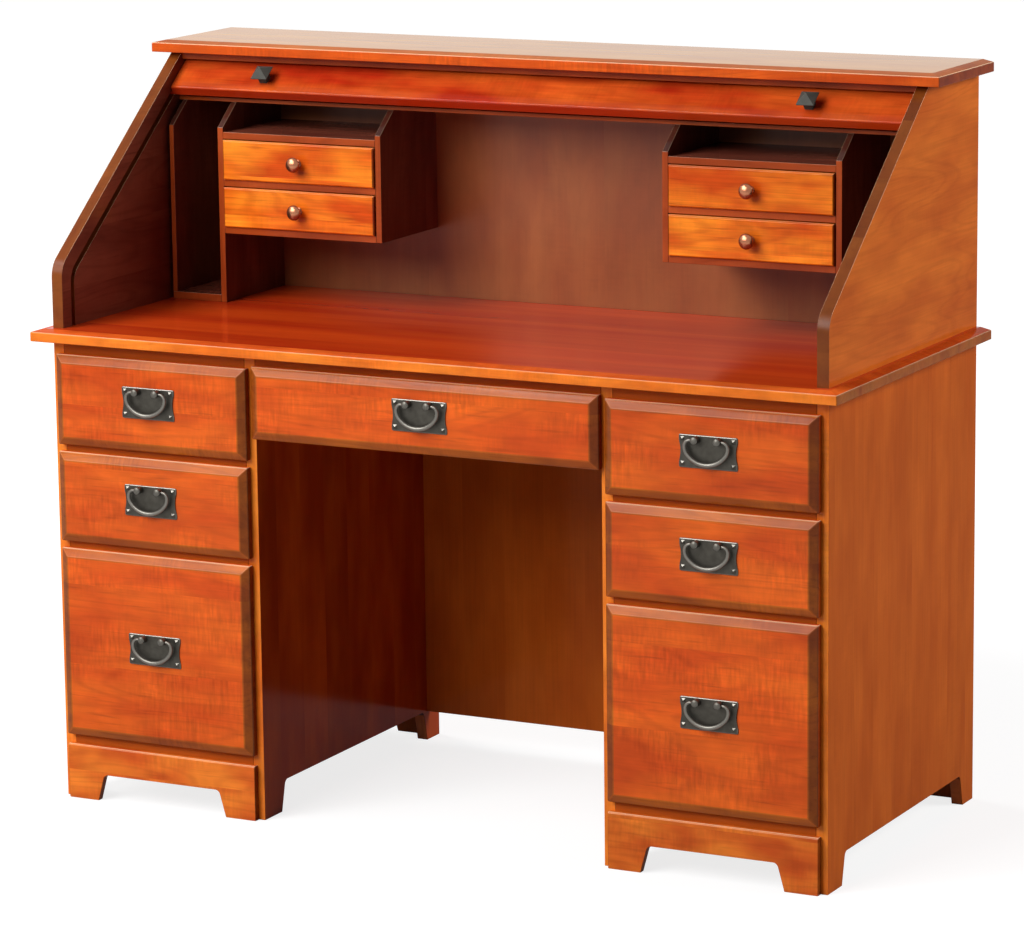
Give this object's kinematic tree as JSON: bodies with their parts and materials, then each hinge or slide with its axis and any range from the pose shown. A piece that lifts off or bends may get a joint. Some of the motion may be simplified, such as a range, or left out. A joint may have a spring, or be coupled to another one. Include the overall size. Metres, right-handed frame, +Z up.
{
  "type": "roll-top desk",
  "caption": "Double-pedestal roll-top writing desk in stained cherry with a sloped hutch, a sliding tambour lift rail, bail-pull drawers and small organiser drawers.",
  "frame": {"origin": "on the floor under the middle of the desk's overall box", "axes": "+X to the sitter's right along the width, +Y from the drawer fronts to the back, +Z up"},
  "size_m": [1.378, 0.6174, 1.18],
  "materials": {
    "cherry_case": "stained cherry, clear gloss lacquer",
    "cherry_top": "red-stained cherry, clear gloss lacquer",
    "cherry_front": "orange-red stained cherry, clear gloss lacquer",
    "cherry_plywood": "stained plywood, satin lacquer",
    "drawer_maple": "clear-finished maple",
    "antique_copper": "copper-plated brass, darkened and polished",
    "dark_metal": "dark oil-rubbed satin",
    "canvas": "plain woven cotton canvas"
  },
  "bodies": {
    "cabinet": {"desk_top": "cherry_top", "hutch_top": "cherry_top", "left_outer_side": "cherry_case", "right_outer_side": "cherry_case", "left_inner_side": "cherry_case", "right_inner_side": "cherry_case", "pedestal_backs": "cherry_plywood", "pedestal_floors": "drawer_maple", "front_aprons": "cherry_front", "modesty_panel": "cherry_plywood", "drawer_rails": "cherry_case", "drawer_runners": "drawer_maple", "left_hutch_side": "cherry_case", "right_hutch_side": "cherry_case", "hutch_fascia": "cherry_front", "hutch_inner_back": "cherry_plywood", "hutch_ceiling": "cherry_case", "hutch_outer_back": "cherry_plywood", "tambour_slats": "cherry_case", "tambour_canvas": "canvas", "left_organizer": "cherry_case", "right_organizer": "cherry_case"},
    "lift_bar": {"lift_rail": "cherry_front", "lift_knobs": "dark_metal"},
    "left_top_drawer": {"left_top_drawer_front": "cherry_front", "left_top_drawer_box": "drawer_maple", "left_top_drawer_pull": "dark_metal"},
    "left_top_drawer_handle": {"left_top_drawer_bail": "dark_metal"},
    "left_middle_drawer": {"left_middle_drawer_front": "cherry_front", "left_middle_drawer_box": "drawer_maple", "left_middle_drawer_pull": "dark_metal"},
    "left_middle_drawer_handle": {"left_middle_drawer_bail": "dark_metal"},
    "left_file_drawer": {"left_file_drawer_front": "cherry_front", "left_file_drawer_box": "drawer_maple", "left_file_drawer_pull": "dark_metal"},
    "left_file_drawer_handle": {"left_file_drawer_bail": "dark_metal"},
    "right_top_drawer": {"right_top_drawer_front": "cherry_front", "right_top_drawer_box": "drawer_maple", "right_top_drawer_pull": "dark_metal"},
    "right_top_drawer_handle": {"right_top_drawer_bail": "dark_metal"},
    "right_middle_drawer": {"right_middle_drawer_front": "cherry_front", "right_middle_drawer_box": "drawer_maple", "right_middle_drawer_pull": "dark_metal"},
    "right_middle_drawer_handle": {"right_middle_drawer_bail": "dark_metal"},
    "right_file_drawer": {"right_file_drawer_front": "cherry_front", "right_file_drawer_box": "drawer_maple", "right_file_drawer_pull": "dark_metal"},
    "right_file_drawer_handle": {"right_file_drawer_bail": "dark_metal"},
    "kneehole_drawer": {"kneehole_drawer_front": "cherry_front", "kneehole_drawer_box": "drawer_maple", "kneehole_drawer_pull": "dark_metal"},
    "kneehole_drawer_handle": {"kneehole_drawer_bail": "dark_metal"},
    "left_lower_small_drawer": {"left_lower_small_drawer": "cherry_front", "left_lower_small_drawer_knob": "antique_copper"},
    "left_upper_small_drawer": {"left_upper_small_drawer": "cherry_front", "left_upper_small_drawer_knob": "antique_copper"},
    "right_lower_small_drawer": {"right_lower_small_drawer": "cherry_front", "right_lower_small_drawer_knob": "antique_copper"},
    "right_upper_small_drawer": {"right_upper_small_drawer": "cherry_front", "right_upper_small_drawer_knob": "antique_copper"}
  },
  "joints": [
    {"name": "tambour_lift", "type": "slide", "parent": "cabinet", "child": "lift_bar", "axis": [0, 0.7849, 0.6196], "range_m": [-0.386, 0], "deforming": ["tambour_slats", "tambour_canvas"]},
    {"name": "left_top_drawer_slide", "type": "slide", "parent": "cabinet", "child": "left_top_drawer", "axis": [0, -1, 0], "range_m": [0, 0.4]},
    {"name": "left_top_drawer_bail_swing", "type": "hinge", "parent": "left_top_drawer", "child": "left_top_drawer_handle", "pos_m": [-0.4805, -0.3027, 0.6745], "axis": [-1, 0, 0], "range_deg": [0, 85]},
    {"name": "left_middle_drawer_slide", "type": "slide", "parent": "cabinet", "child": "left_middle_drawer", "axis": [0, -1, 0], "range_m": [0, 0.4]},
    {"name": "left_middle_drawer_bail_swing", "type": "hinge", "parent": "left_middle_drawer", "child": "left_middle_drawer_handle", "pos_m": [-0.4805, -0.3027, 0.5185], "axis": [-1, 0, 0], "range_deg": [0, 85]},
    {"name": "left_file_drawer_slide", "type": "slide", "parent": "cabinet", "child": "left_file_drawer", "axis": [0, -1, 0], "range_m": [0, 0.4]},
    {"name": "left_file_drawer_bail_swing", "type": "hinge", "parent": "left_file_drawer", "child": "left_file_drawer_handle", "pos_m": [-0.4805, -0.3027, 0.278], "axis": [-1, 0, 0], "range_deg": [0, 85]},
    {"name": "right_top_drawer_slide", "type": "slide", "parent": "cabinet", "child": "right_top_drawer", "axis": [0, -1, 0], "range_m": [0, 0.4]},
    {"name": "right_top_drawer_bail_swing", "type": "hinge", "parent": "right_top_drawer", "child": "right_top_drawer_handle", "pos_m": [0.4805, -0.3027, 0.6745], "axis": [-1, 0, 0], "range_deg": [0, 85]},
    {"name": "right_middle_drawer_slide", "type": "slide", "parent": "cabinet", "child": "right_middle_drawer", "axis": [0, -1, 0], "range_m": [0, 0.4]},
    {"name": "right_middle_drawer_bail_swing", "type": "hinge", "parent": "right_middle_drawer", "child": "right_middle_drawer_handle", "pos_m": [0.4805, -0.3027, 0.5185], "axis": [-1, 0, 0], "range_deg": [0, 85]},
    {"name": "right_file_drawer_slide", "type": "slide", "parent": "cabinet", "child": "right_file_drawer", "axis": [0, -1, 0], "range_m": [0, 0.4]},
    {"name": "right_file_drawer_bail_swing", "type": "hinge", "parent": "right_file_drawer", "child": "right_file_drawer_handle", "pos_m": [0.4805, -0.3027, 0.278], "axis": [-1, 0, 0], "range_deg": [0, 85]},
    {"name": "kneehole_drawer_slide", "type": "slide", "parent": "cabinet", "child": "kneehole_drawer", "axis": [0, -1, 0], "range_m": [0, 0.34]},
    {"name": "kneehole_drawer_bail_swing", "type": "hinge", "parent": "kneehole_drawer", "child": "kneehole_drawer_handle", "pos_m": [0, -0.3027, 0.6915], "axis": [-1, 0, 0], "range_deg": [0, 85]},
    {"name": "left_lower_small_drawer_slide", "type": "slide", "parent": "cabinet", "child": "left_lower_small_drawer", "axis": [0, -1, 0], "range_m": [0, 0.13]},
    {"name": "left_upper_small_drawer_slide", "type": "slide", "parent": "cabinet", "child": "left_upper_small_drawer", "axis": [0, -1, 0], "range_m": [0, 0.13]},
    {"name": "right_lower_small_drawer_slide", "type": "slide", "parent": "cabinet", "child": "right_lower_small_drawer", "axis": [0, -1, 0], "range_m": [0, 0.13]},
    {"name": "right_upper_small_drawer_slide", "type": "slide", "parent": "cabinet", "child": "right_upper_small_drawer", "axis": [0, -1, 0], "range_m": [0, 0.13]}
  ]
}
